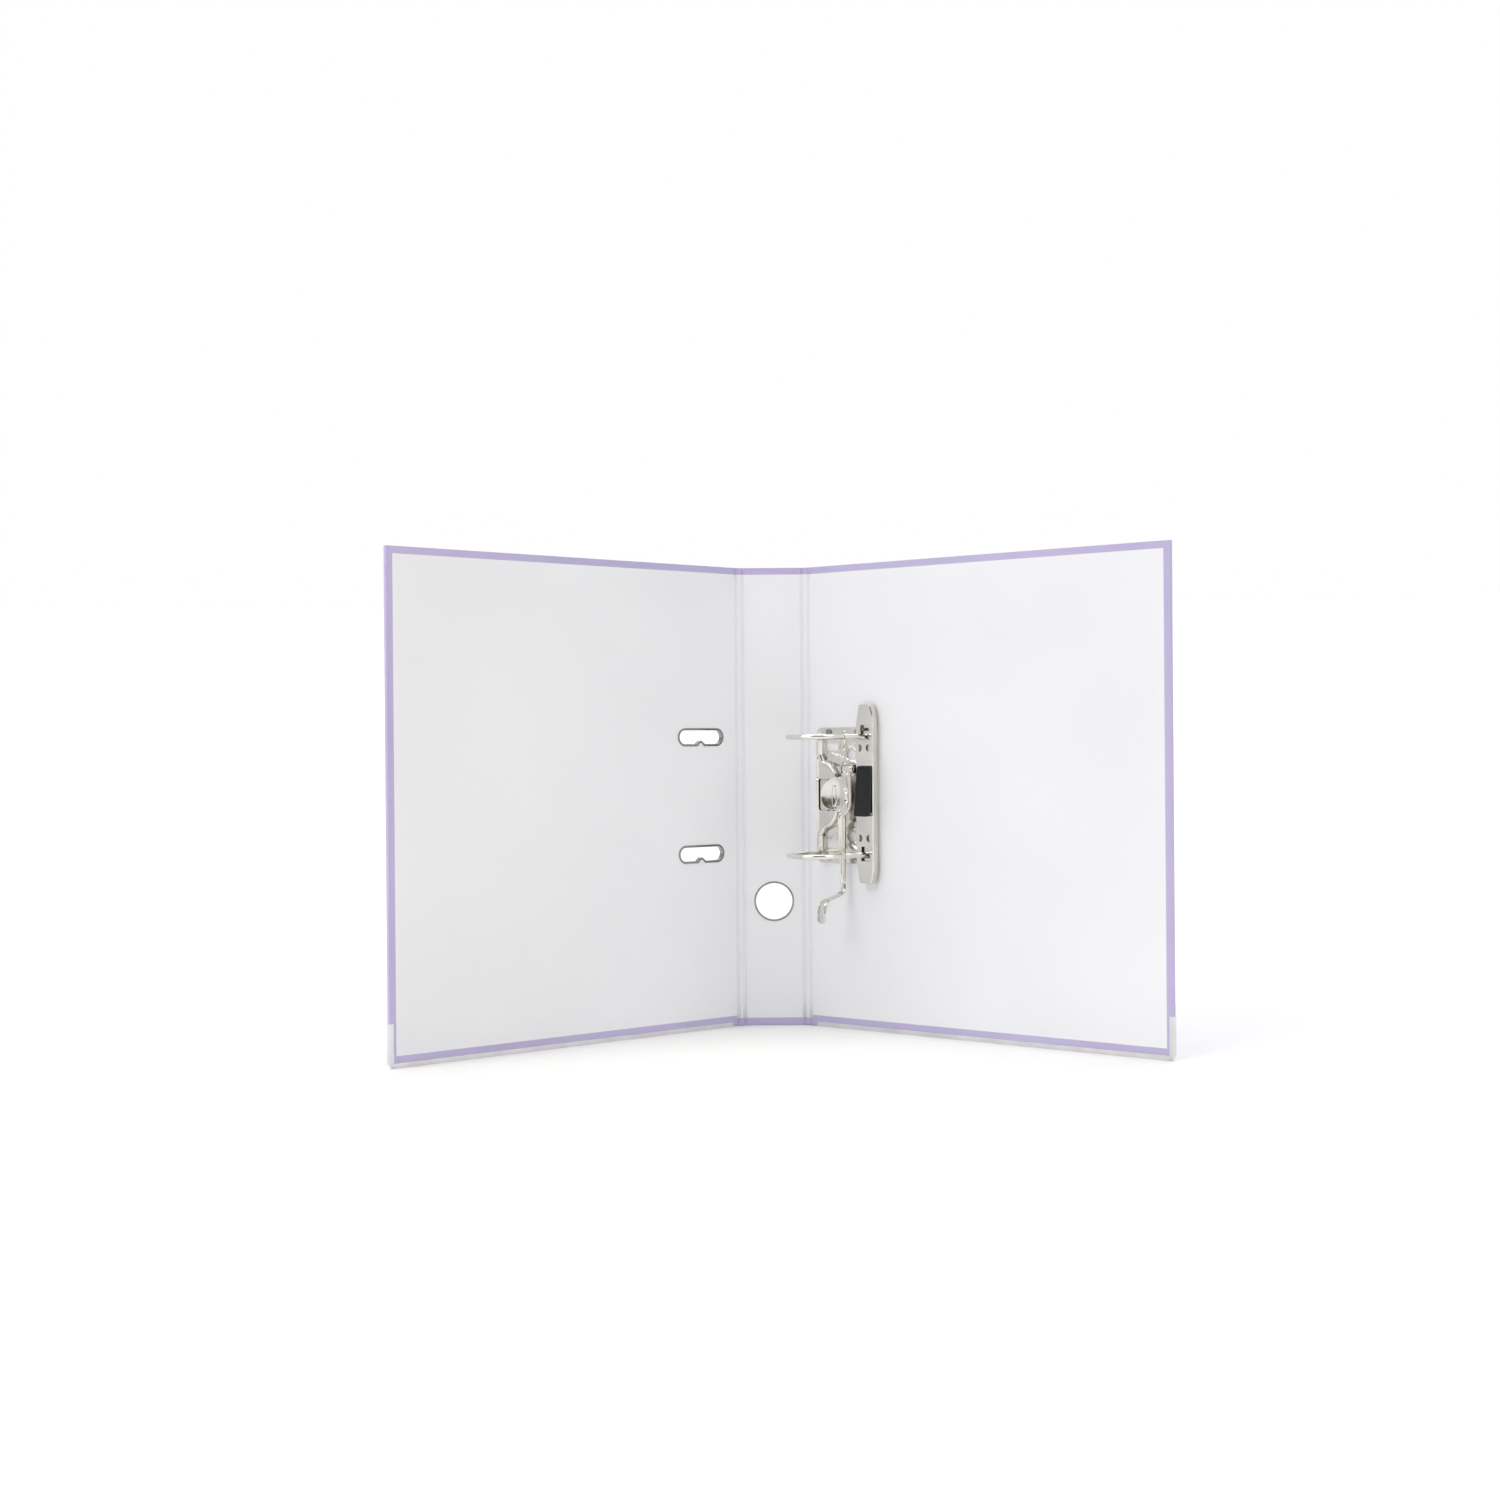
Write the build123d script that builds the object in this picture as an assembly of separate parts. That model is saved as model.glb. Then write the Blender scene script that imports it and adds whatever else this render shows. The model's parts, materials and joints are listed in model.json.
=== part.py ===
from build123d import *
import math
import os

# Lever arch file for A4 sheets, standing open in a V with its inside facing -Y.
# +Z runs up along the spine, +X to the right, millimetres.
# The case is laid out flat first, then each cover is folded about its two creases.

# ---- driving dimensions -------------------------------------------------
HEIGHT = 318.0          # height of the case boards
PANEL = 281.0           # cover panel, outer crease to fore-edge
SPINE_W = 42.5          # spine panel between the inner creases
HINGE_W = 5.6           # hinge strip between inner and outer crease
T_BOARD = 2.0
T_WRAP = 0.25
T_LIN = 0.25
T_ALL = T_BOARD + T_WRAP + T_LIN
TURN_IN = 4.6           # wrap turned over the inner face along the edges
FOLD = 40.42            # resting fold of each cover from the plane of the spine
CREASE_HALF = 22.9      # half angle of the scored V groove at each crease
CORNER_R = 4.2          # rounded lower outer corner of each cover

RING_PITCH = 80.0       # ISO 838 punching
RING_Z = 120.0          # lower ring plane
MECH_Z = RING_Z + RING_PITCH / 2
MECH_DU = 1.6           # whole mechanism moved away from the crease by this
POST_U = 52.0           # straight posts, distance from the outer crease
PIVOT_U = 11.0          # arch pivot line
PIVOT_H = 3.0
POST_R = 1.75
WIRE_R = 1.7
ARCH_R = (POST_U - PIVOT_U) / 2
ARCH_H = 31.5           # height where the semicircle starts
CRANK_R = 13.4          # crank offset from the pivot line

PLATE_T = 1.2
PLATE_U0, PLATE_U1 = 6.2, 57.5
PLATE_Z0, PLATE_Z1 = 113.4, 206.4

LEVER_PZ = 178.0        # lever pivot
LEVER_PH = 6.8
HEAD_U, HEAD_Z, HEAD_R = 29.0, 160.2, 12.0

BAR_U0, BAR_U1 = 44.0, 58.6
BAR_Z0, BAR_Z1 = 100.4, 221.6
BAR_H0, BAR_H1 = 1.7, 7.1
SHEET = 1.0

SLOT_U = (POST_U + PIVOT_U) / 2 + MECH_DU
SLOT_DZ = 0.5                  # slot centre above its ring plane
SLOT_L, SLOT_W = 37.6, 9.4     # opening of the oval arch slots
EYE_WALL, EYE_FLANGE = 0.5, 1.5

FINGER_Z = 86.0
FINGER_R = 12.6                # clear radius of the finger hole
FINGER_FLANGE = 1.3

EDGE_T = 0.35                  # sheet of the metal edge protectors
EDGE_LAP = 2.8
EDGE_LEG = 27.0                # height of the leg up the fore-edge

X1 = SPINE_W / 2
X2 = X1 + HINGE_W
YP = T_ALL                     # creases turn about the outer face

os.makedirs("parts", exist_ok=True)
NODES = {}


def poly(*pts):
    # polygon with its points put in counter-clockwise order
    a = sum(p[0] * q[1] - q[0] * p[1] for p, q in zip(pts, pts[1:] + pts[:1]))
    return Polygon(*(pts if a > 0 else pts[::-1]), align=None)


def box(x0, x1, y0, y1, z0, z1):
    return Pos((x0 + x1) / 2, (y0 + y1) / 2, (z0 + z1) / 2) * Box(abs(x1 - x0), abs(y1 - y0), abs(z1 - z0))


def cyl_y(x, z, r, y0, y1):
    return Pos(x, (y0 + y1) / 2, z) * Rot(90, 0, 0) * Cylinder(r, abs(y1 - y0))


def cyl_z(x, y, r, z0, z1):
    return Pos(x, y, (z0 + z1) / 2) * Cylinder(r, abs(z1 - z0))


def cyl_x(y, z, r, x0, x1):
    return Pos((x0 + x1) / 2, y, z) * Rot(0, 90, 0) * Cylinder(r, abs(x1 - x0))


def prism_y(sk, y0, y1):
    # sketch coordinates are (x, z); extruded from depth y0 to y1
    pl = Plane(origin=(0, y1, 0), x_dir=(1, 0, 0), z_dir=(0, -1, 0))
    return extrude(pl * sk, amount=(y1 - y0))


def rod(pts, r, bend):
    # round bar through the points, each corner bent to the given radius
    P = [Vector(*p) for p in pts]
    edges = []
    start = P[0]
    for i in range(1, len(P) - 1):
        a = (P[i - 1] - P[i]).normalized()
        b = (P[i + 1] - P[i]).normalized()
        ang = math.acos(max(-1, min(1, a.dot(b))))
        br = bend[i - 1] if isinstance(bend, (list, tuple)) else bend
        d = br / math.tan(ang / 2)
        t1 = P[i] + a * d
        t2 = P[i] + b * d
        bis = (a + b).normalized()
        c = P[i] + bis * (br / math.sin(ang / 2))
        mid = c - bis * br
        if (t1 - start).length > 1e-4:
            edges.append(Line(start, t1))
        edges.append(ThreePointArc(t1, mid, t2))
        start = t2
    if (P[-1] - start).length > 1e-4:
        edges.append(Line(start, P[-1]))
    return edges


def sweep_round(edges, r, z_dir):
    w = Wire(edges)
    p0 = edges[0] @ 0
    return sweep(Plane(origin=p0, z_dir=z_dir) * Circle(r), path=w)


def crease_cut(x):
    # V groove of a crease: nearly closed at the outer face, open at the inner face
    w = 0.03
    d = T_ALL + 0.6
    a = math.tan(math.radians(CREASE_HALF)) * d
    pts = [(x - w, T_ALL + 0.05), (x + w, T_ALL + 0.05), (x + w, T_ALL), (x + w + a, T_ALL - d),
           (x - w - a, T_ALL - d), (x - w, T_ALL)]
    return extrude(Plane.XY * poly(*pts), amount=HEIGHT + 4).translate((0, 0, -2))


# ---- the case, flat -----------------------------------------------------
def outline(u1, corner, grow=0.0):
    # outline of a cover in (x, z), x from the outer crease outward
    r = corner + grow
    sk = poly((0, -grow), (u1 + grow, -grow), (u1 + grow, HEIGHT + grow), (0, HEIGHT + grow))
    if corner > 0:
        c = poly((u1 + grow - r, -grow), (u1 + grow, -grow), (u1 + grow, r - grow))
        sk = sk - c
        sk = sk + Pos(u1 + grow - r, r - grow) * Circle(r)
    return sk


def slot_sketch(grow):
    # oval slot with the V notch in its lower side
    L, W = SLOT_L + 2 * grow, SLOT_W + 2 * grow
    s = SlotOverall(L, W)
    h = 2.3
    n = 4.2 - 0.5 * grow
    tri = poly((-n, -W / 2 - 0.5), (n, -W / 2 - 0.5), (0.7, -W / 2 + h), (-0.7, -W / 2 + h))
    return s - tri


def panel_layers(holes_board=None):
    sk_out = outline(PANEL, CORNER_R)
    board = prism_y(outline(PANEL - T_WRAP, CORNER_R - T_WRAP), T_LIN, T_LIN + T_BOARD)
    board = board & box(0, PANEL, -1, 5, T_WRAP, HEIGHT - T_WRAP)
    full = prism_y(sk_out, 0, T_ALL)
    win = box(0, PANEL - TURN_IN, -1, T_LIN, TURN_IN + 2.4, HEIGHT - TURN_IN)
    wrap = full - board - win
    lin = box(0, PANEL - TURN_IN, 0, T_LIN, TURN_IN + 2.4, HEIGHT - TURN_IN)
    return board, wrap, lin


def strip_layers(x0, x1):
    board = box(x0, x1, T_LIN, T_LIN + T_BOARD, T_WRAP, HEIGHT - T_WRAP)
    full = box(x0, x1, 0, T_ALL, 0, HEIGHT)
    win = box(x0, x1, -1, T_LIN, TURN_IN + 0.4, HEIGHT - TURN_IN)
    lin = box(x0, x1, 0, T_LIN, TURN_IN + 0.4, HEIGHT - TURN_IN)
    return board, full - board - win, lin


def mirror_x(s):
    return s.mirror(Plane.YZ)


def place(s, side, stage):
    # stage 1: hinge strip, stage 2: cover. side +1 right (back cover), -1 left
    a = -FOLD / 2 * side
    if stage == 2:
        s = s.rotate(Axis((side * X2, YP, 0), (0, 0, 1)), a)
    if stage >= 1:
        s = s.rotate(Axis((side * X1, YP, 0), (0, 0, 1)), a)
    return s


def local(s, side):
    # panel coordinates (u, -h, z) to the flat layout
    s = s.translate((X2, 0, 0))
    return s if side > 0 else mirror_x(s)


def one_solid(s, name):
    sol = s.solids()
    if len(sol) == 0:
        raise ValueError(name + " is empty")
    return sol


def add(name, s):
    sol = one_solid(s, name)
    NODES[name] = sol[0] if len(sol) == 1 else Compound(list(sol))


# spine
b, w, l = strip_layers(-X1, X1)
cuts = crease_cut(X1) + crease_cut(-X1)
hole = cyl_y(0, FINGER_Z, FINGER_R + 0.55, -1, T_ALL + 1)
add("spine_board", b - cuts - hole)
add("spine_wrap", w - cuts - hole)
add("spine_lining", l - cuts - hole)
f1 = cyl_y(0, FINGER_Z, FINGER_R + FINGER_FLANGE, -0.45, 0) + cyl_y(0, FINGER_Z, FINGER_R + 0.5, -0.45, T_ALL)
add("finger_ring", f1 - cyl_y(0, FINGER_Z, FINGER_R, -2, T_ALL + 2))
f2 = cyl_y(0, FINGER_Z, FINGER_R + FINGER_FLANGE, T_ALL, T_ALL + 0.45)
add("finger_ring_washer", f2 - cyl_y(0, FINGER_Z, FINGER_R, -2, T_ALL + 2))
add("spine_label", box(-17, 17, T_ALL, T_ALL + 0.12, 118, 298))

# hinge strips
for side, nm in ((-1, "front"), (1, "back")):
    b, w, l = strip_layers(X1, X2)
    cuts = crease_cut(X1) + crease_cut(X2)
    for part, s in (("board", b), ("wrap", w), ("lining", l)):
        s = s - cuts
        s = s if side > 0 else mirror_x(s)
        add(nm + "_hinge_" + part, place(s, side, 1))

# covers
for side, nm in ((-1, "front"), (1, "back")):
    b, w, l = panel_layers()
    cut0 = crease_cut(0)
    holes = None
    if side < 0:
        # arch slots
        for rz in (RING_Z, RING_Z + RING_PITCH):
            k = prism_y(Pos(SLOT_U, rz + SLOT_DZ) * slot_sketch(EYE_WALL + 0.04), -1, T_ALL + 1)
            holes = k if holes is None else holes + k
    else:
        # rivet holes of the mechanism
        for (ru, rz) in ((17.0, 203.4), (41.5, 203.4), (17.0, 117.0), (41.5, 117.0)):
            k = cyl_y(ru + MECH_DU, rz, 1.55, -1, T_ALL + 1)
            holes = k if holes is None else holes + k
    for part, s in (("board", b), ("wrap", w), ("lining", l)):
        add(nm + "_" + part, place(local(s - cut0 - holes, side), side, 2))
    # edge protector: folded metal strip round the bottom edge and up the fore-edge
    g = EDGE_T
    outer = prism_y(outline(PANEL, CORNER_R, g), -g, T_ALL + g)
    panel = prism_y(outline(PANEL, CORNER_R), 0, T_ALL)
    inner = box(-5, PANEL - EDGE_LAP, -5, 9, EDGE_LAP, HEIGHT + 5)
    zone = box(6.0, PANEL + 5, -5, 9, -5, EDGE_LEG)
    add(nm + "_edge_protector", place(local(((outer - panel) - inner) & zone, side), side, 2))

# oval eyelets of the front cover
for nm, rz in (("lower", RING_Z), ("upper", RING_Z + RING_PITCH)):
    tube = prism_y(Pos(SLOT_U, rz + SLOT_DZ) * slot_sketch(EYE_WALL), -0.35, T_ALL + 0.35)
    fl = prism_y(Pos(SLOT_U, rz + SLOT_DZ) * slot_sketch(EYE_FLANGE), -0.4, 0) + \
        prism_y(Pos(SLOT_U, rz + SLOT_DZ) * slot_sketch(EYE_FLANGE), T_ALL, T_ALL + 0.4)
    bore = prism_y(Pos(SLOT_U, rz + SLOT_DZ) * slot_sketch(0), -2, T_ALL + 2)
    add("arch_slot_eyelet_" + nm, place(local((tube + fl) - bore, -1), -1, 2))

# ---- the lever arch mechanism, on the back cover ------------------------
MP = []          # (name, solid in panel coordinates)


def mech(name, s):
    add(name, place(local(s.translate((MECH_DU, 0, 0)), 1), 1, 2))


ZU, ZL = RING_Z + RING_PITCH, RING_Z

# base plate
plate_sk = Pos((PLATE_U0 + PLATE_U1) / 2, (PLATE_Z0 + PLATE_Z1) / 2) * RectangleRounded(
    PLATE_U1 - PLATE_U0, PLATE_Z1 - PLATE_Z0, 4.5)
plate = prism_y(plate_sk, -PLATE_T, 0)


def mz(z):
    return 2 * MECH_Z - z


for z0, z1 in ((188.0, 198.0), (mz(198.0), mz(188.0))):
    plate += cyl_z(PIVOT_U, -PIVOT_H, 3.0, z0, z1)
    plate += box(PIVOT_U - 3.0, PIVOT_U + 3.0, -PIVOT_H, -0.2, z0, z1)
for sgn in (0, 1):
    def q(z):
        return z if sgn == 0 else mz(z)
    za, zb = sorted((q(190.3), q(196.7)))
    plate -= box(14.4, 24.8, -3, 1, za, zb)                      # rectangular window
    plate -= cyl_y(36.1, q(188.1), 3.8, -3, 1)                    # round hole, half under the bar's edge
    # stamped stiffening ridges
    rib = Pos(0, 0) * poly((26.4, q(187.0)), (28.6, q(197.5)), (30.2, q(197.5)), (28.2, q(186.6)))
    plate += prism_y(rib, -PLATE_T - 0.6, -PLATE_T)
    rib2 = poly((17.5, q(187.4)), (29.6, q(181.6)), (30.2, q(183.0)), (18.4, q(188.2)))
    plate += prism_y(rib2, -PLATE_T - 0.6, -PLATE_T)
    rib3 = poly((33.0, q(181.8)), (43.0, q(181.8)), (43.0, q(183.0)), (33.0, q(183.0)))
    plate += prism_y(rib3, -PLATE_T - 0.6, -PLATE_T)
    # spring tongue slits
    plate -= box(15.4, 23.6, -3, 1, *sorted((q(170.0), q(171.0))))
    plate -= box(9.0, 15.6, -3, 1, *sorted((q(170.1), q(170.6))))
plate -= box(8.0, 9.6, -3, 1, 149.6, 171.2)
# lever bracket: two ears bent up from the plate at the lever pivot
for e0, e1 in ((32.4, 33.4), (41.8, 42.8)):
    ear = box(e0, e1, -LEVER_PH, -0.3, LEVER_PZ - 3.0, LEVER_PZ + 3.0) + cyl_x(-LEVER_PH, LEVER_PZ, 3.0, e0, e1)
    plate += ear
PIN_R = 1.3
plate -= cyl_x(-LEVER_PH, LEVER_PZ, PIN_R, 30, 45)
for z in (ZU, ZL):
    plate -= cyl_y(POST_U, z, 1.5, -3, 1)
for (ru, rz) in ((17.0, 203.4), (41.5, 203.4), (17.0, 117.0), (41.5, 117.0)):
    plate -= cyl_y(ru, rz, 1.5, -3, 1)
for z0, z1 in ((187.0, 199.0), (mz(199.0), mz(187.0))):
    plate -= cyl_z(PIVOT_U, -PIVOT_H, WIRE_R + 0.1, z0, z1)
mech("base_plate", plate)

# rivets through plate and cover
rv = None
for (ru, rz) in ((17.0, 203.4), (41.5, 203.4), (17.0, 117.0), (41.5, 117.0)):
    r1 = cyl_y(ru, rz, 1.5, -PLATE_T - 0.5, T_ALL + 0.5) + cyl_y(ru, rz, 2.2, -PLATE_T - 0.7, -PLATE_T) + \
        cyl_y(ru, rz, 3.2, T_ALL, T_ALL + 0.7)
    rv = r1 if rv is None else rv + r1
mech("mechanism_rivets", rv)

# posts, riveted into the plate
for nm, z in (("post_lower", ZL), ("post_upper", ZU)):
    s = cyl_y(POST_U, z, POST_R, -ARCH_H, -PLATE_T) + cyl_y(POST_U, z, 1.5, -PLATE_T, 0)
    mech(nm, s)

# arch wire: one bent wire making both arches and the crank between them
CU = PIVOT_U + CRANK_R
c_pts = [(POST_U, -ARCH_H - 0.25, ZU)]


def arch_edges(z, up):
    # from the post side over the semicircle to the pivot line, at ring plane z
    a = Line((POST_U, -ARCH_H - 0.25, z), (POST_U, -ARCH_H - 0.5, z))
    c = ThreePointArc((POST_U, -ARCH_H - 0.5, z), ((POST_U + PIVOT_U) / 2, -ARCH_H - 0.5 - ARCH_R, z),
                      (PIVOT_U, -ARCH_H - 0.5, z))
    return [a, c]


mid = rod([(PIVOT_U, -ARCH_H - 0.5, ZU), (PIVOT_U, -PIVOT_H, ZU), (PIVOT_U, -PIVOT_H, 187.0), (13.6, -PIVOT_H, 182.2),
           (19.2, -PIVOT_H, 180.0), (CU, -PIVOT_H, 173.6), (CU, -PIVOT_H, mz(173.6)), (19.2, -PIVOT_H, mz(180.0)),
           (13.6, -PIVOT_H, mz(182.2)), (PIVOT_U, -PIVOT_H, mz(187.0)),
           (PIVOT_U, -PIVOT_H, ZL), (PIVOT_U, -ARCH_H - 0.5, ZL)], WIRE_R, [2.2, 4.0, 4.0, 4.0, 4.0, 4.0, 4.0, 4.0, 4.0, 2.2])
lowarc = [ThreePointArc((PIVOT_U, -ARCH_H - 0.5, ZL), ((POST_U + PIVOT_U) / 2, -ARCH_H - 0.5 - ARCH_R, ZL),
                        (POST_U, -ARCH_H - 0.5, ZL)), Line((POST_U, -ARCH_H - 0.5, ZL), (POST_U, -ARCH_H - 0.25, ZL))]
arch = sweep_round(arch_edges(ZU, True) + mid + lowarc, WIRE_R, (0, -1, 0))
mech("arch_wire", arch)

# lever: dished head, neck with rolled barrel, channel arm, raised finger end
# the head is a scoop: a shallow hollow, lowest beside the neck and rising to its free rim
DISH_U, DISH_R, DISH_LOW = 34.0, 40.0, 7.0
hc = DISH_LOW + DISH_R
cap = (Pos(DISH_U, -hc, HEAD_Z) * Sphere(DISH_R + 1.1)) - (Pos(DISH_U, -hc, HEAD_Z) * Sphere(DISH_R))
head = cap & cyl_y(HEAD_U, HEAD_Z, HEAD_R, -20, -1)
neck_sk = poly((34.6, LEVER_PZ), (40.6, LEVER_PZ), (40.6, 153.5), (35.6, 146.5), (29.9, 146.5), (31.0, 168.0), (25.6, 171.3), (34.6, 173.4))
neck = prism_y(neck_sk, -7.4, -6.2)
barrel = cyl_x(-LEVER_PH, LEVER_PZ, 2.5, 33.6, 41.6)
# arm: a folded channel that narrows towards its bend, open outwards, then a flat strip raised in an S
# to the finger end, in (z, h)
ARM_U = 32.7
bend = [(98.5, 6.4), (95.0, 7.6), (92.6, 11.0), (91.1, 17.0), (89.8, 23.5), (88.0, 28.4)]
tipway = [(89.2, 26.0), (88.0, 28.4), (85.2, 30.4), (81.0, 31.1), (74.2, 31.6)]


def strip_solid(path, t, u0, u1):
    top, bot = [], []
    n = len(path)
    for i in range(n):
        z, h = path[i]
        d = Vector(0, 0, 0)
        if i > 0:
            d += (Vector(z - path[i - 1][0], h - path[i - 1][1], 0)).normalized()
        if i < n - 1:
            d += (Vector(path[i + 1][0] - z, path[i + 1][1] - h, 0)).normalized()
        d = d.normalized()
        nx, ny = -d.Y, d.X
        top.append((z + nx * t / 2, h + ny * t / 2))
        bot.append((z - nx * t / 2, h - ny * t / 2))
    pts = top + bot[::-1]
    # polygon in (z, h) placed in the plane X = u0
    pl = Plane(origin=(u0, 0, 0), x_dir=(0, 0, 1), z_dir=(1, 0, 0))
    # in this plane the local y axis is z_dir x x_dir = -Y, so h grows toward -Y
    return extrude(pl * poly(*pts), amount=u1 - u0)


arm = strip_solid(bend, 1.2, ARM_U - 2.4, ARM_U + 2.4) + strip_solid(tipway, 1.2, ARM_U - 3.5, ARM_U + 3.5)
web = prism_y(poly((29.9, 148.0), (35.5, 148.0), (34.5, 97.0), (30.9, 97.0)), -6.9, -5.8)
fl = prism_y(poly((29.9, 148.0), (31.0, 148.0), (31.9, 97.0), (30.9, 97.0)), -8.6, -5.8) + \
    prism_y(poly((34.4, 148.0), (35.5, 148.0), (34.5, 97.0), (33.5, 97.0)), -8.3, -5.8)
lever = head + neck + barrel + arm + web + fl
lever -= cyl_x(-LEVER_PH, LEVER_PZ, PIN_R + 0.1, 30, 45)
lever -= cyl_y(ARM_U + 0.6, 82.0, 1.2, -45, -20)
mech("lever", lever)
mech("lever_pin", cyl_x(-LEVER_PH, LEVER_PZ, PIN_R, 32.0, 43.1) + cyl_x(-LEVER_PH, LEVER_PZ, 2.0, 31.4, 32.4)
     + cyl_x(-LEVER_PH, LEVER_PZ, 2.0, 42.8, 43.5))

# compressor bar: inverted channel sliding on the posts
BU, BZ = (BAR_U0 + BAR_U1) / 2, (BAR_Z0 + BAR_Z1) / 2


BU_Z0, BU_Z1 = BAR_Z0, BAR_Z1
BAR_ZC = 161.7          # middle of the bar's windows


def bar_sk(shrink):
    k = shrink
    pts = [(BAR_U0 + 2.6 + k, BAR_Z0 + k), (BAR_U1 - 2.2 - k, BAR_Z0 + k), (BAR_U1 - k, BAR_Z0 + 8.5),
           (BAR_U1 - k, BAR_Z1 - 8.5), (BAR_U1 - 2.2 - k, BAR_Z1 - k), (BAR_U0 + 2.6 + k, BAR_Z1 - k),
           (BAR_U0 + k, BAR_Z1 - 15.0), (BAR_U0 + k, BAR_Z0 + 15.0)]
    sk = Polygon(*pts)
    ends = [v for v in sk.vertices() if min(abs(v.Y - BU_Z0 - k), abs(v.Y - BU_Z1 + k)) < 0.1]
    return fillet(ends, 1.6) if ends else sk


bar = prism_y(bar_sk(0), -BAR_H1, -BAR_H0)
bar = fillet(bar.faces().sort_by(Axis.Y)[0].edges(), 0.9)
bar -= prism_y(bar_sk(SHEET), -BAR_H1 + SHEET, 0)
GR_U0, GR_U1 = 46.9, 58.4       # grip
GR_Z0, GR_Z1 = 146.0, 180.2
bar -= box(47.8, 57.3, -9, -BAR_H1 + 2, GR_Z0 + 0.2, GR_Z1 - 0.6)
for z in (ZU, ZL):
    s = 1 if z == ZU else -1
    bar -= box(47.9, 55.7, -9, -BAR_H1 + 2, BAR_ZC + s * 41.2 - 4.9, BAR_ZC + s * 41.2 + 4.9)
    # a pair of half-moon cuts, their round sides facing each other
    for uc, lo, hi in ((47.1, -0.4, 3.0), (55.2, -3.0, 0.4)):
        bar -= prism_y(Pos(uc, BAR_ZC + s * 30.6) * Circle(2.5), -9, -BAR_H1 + 2) & \
            box(uc + lo, uc + hi, -9, -BAR_H1 + 2, 120, 200)
mech("compressor_bar", bar)

# leaf springs sunk in the bar's windows, which grip the posts
for nm, z, s in (("compressor_clamp_lower", ZL, -1), ("compressor_clamp_upper", ZU, 1)):
    zc = BAR_ZC + s * 41.2
    leaf = box(46.0, 57.0, -4.4, -3.8, zc - 6.6, zc + 6.6) - cyl_y(POST_U, z, POST_R + 0.12, -9, 0)
    leaf -= box(48.2, 55.4, -9, 0, zc + s * 2.0 - 1.0, zc + s * 2.0 + 1.0)
    leaf += box(46.0, 57.0, -BAR_H1 + SHEET, -3.8, zc - 6.6, zc - 5.8) + box(46.0, 57.0, -BAR_H1 + SHEET, -3.8, zc + 5.8, zc + 6.6)
    mech(nm, leaf)

# release grip: wedge pad on the bar, its lower end raised, rocking about its pin
GP_Z, GP_H = 177.0, 4.6
wedge_sk = [(GR_Z0, 10.9), (GR_Z0, 14.1), (GR_Z1, 10.1), (GR_Z1, 7.5), (GP_Z - 1.0, 7.5)]
pl = Plane(origin=(GR_U0, 0, 0), x_dir=(0, 0, 1), z_dir=(1, 0, 0))
wedge = extrude(pl * poly(*wedge_sk), amount=GR_U1 - GR_U0)
skirt_sk = [(GR_Z0 + 2.4, 6.4), (GR_Z0 + 2.4, 12.0), (GR_Z1 - 1.8, 9.0), (GR_Z1 - 1.8, 3.6), (GP_Z - 2.5, 2.4), (GP_Z - 8.0, 2.9)]
pl2 = Plane(origin=(48.1, 0, 0), x_dir=(0, 0, 1), z_dir=(1, 0, 0))
skirt = extrude(pl2 * poly(*skirt_sk), amount=8.9)
grip = wedge + skirt
grip -= cyl_x(-GP_H, GP_Z, 1.1, 40, 70)
mech("compressor_grip", grip)
mech("grip_pin", cyl_x(-GP_H, GP_Z, 1.0, BAR_U0 + SHEET, BAR_U1 - SHEET))

# ---- frame: origin at the middle of the footprint, on the ground --------
BBS = [s.bounding_box() for s in NODES.values()]
SHIFT = (-(min(b.min.X for b in BBS) + max(b.max.X for b in BBS)) / 2,
         -(min(b.min.Y for b in BBS) + max(b.max.Y for b in BBS)) / 2,
         -min(b.min.Z for b in BBS))
for name in list(NODES):
    NODES[name] = NODES[name].translate(SHIFT)
    export_step(NODES[name], "parts/" + name + ".step")
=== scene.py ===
import math
import bpy
import bmesh
from mathutils import Matrix, Vector
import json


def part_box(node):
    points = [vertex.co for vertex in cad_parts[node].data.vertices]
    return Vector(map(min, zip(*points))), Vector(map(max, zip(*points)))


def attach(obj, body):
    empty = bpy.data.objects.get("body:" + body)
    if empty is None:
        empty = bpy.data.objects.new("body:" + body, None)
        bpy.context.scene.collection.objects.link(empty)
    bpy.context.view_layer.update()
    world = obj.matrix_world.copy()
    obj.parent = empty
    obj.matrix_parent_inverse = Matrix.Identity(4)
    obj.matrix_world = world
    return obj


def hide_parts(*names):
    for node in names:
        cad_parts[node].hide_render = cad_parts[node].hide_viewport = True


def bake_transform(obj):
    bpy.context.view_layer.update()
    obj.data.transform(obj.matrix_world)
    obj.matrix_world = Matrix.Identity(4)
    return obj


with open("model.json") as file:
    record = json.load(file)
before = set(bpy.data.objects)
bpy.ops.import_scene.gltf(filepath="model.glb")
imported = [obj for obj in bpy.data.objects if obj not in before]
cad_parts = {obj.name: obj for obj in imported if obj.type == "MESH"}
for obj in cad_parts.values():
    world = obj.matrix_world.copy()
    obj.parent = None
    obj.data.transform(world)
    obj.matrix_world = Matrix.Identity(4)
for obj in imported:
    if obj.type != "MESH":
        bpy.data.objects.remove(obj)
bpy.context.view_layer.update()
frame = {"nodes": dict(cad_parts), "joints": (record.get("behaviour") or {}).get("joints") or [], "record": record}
NODES = frame["nodes"]
JOINTS = {j["name"]: j for j in frame["joints"]}

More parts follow.
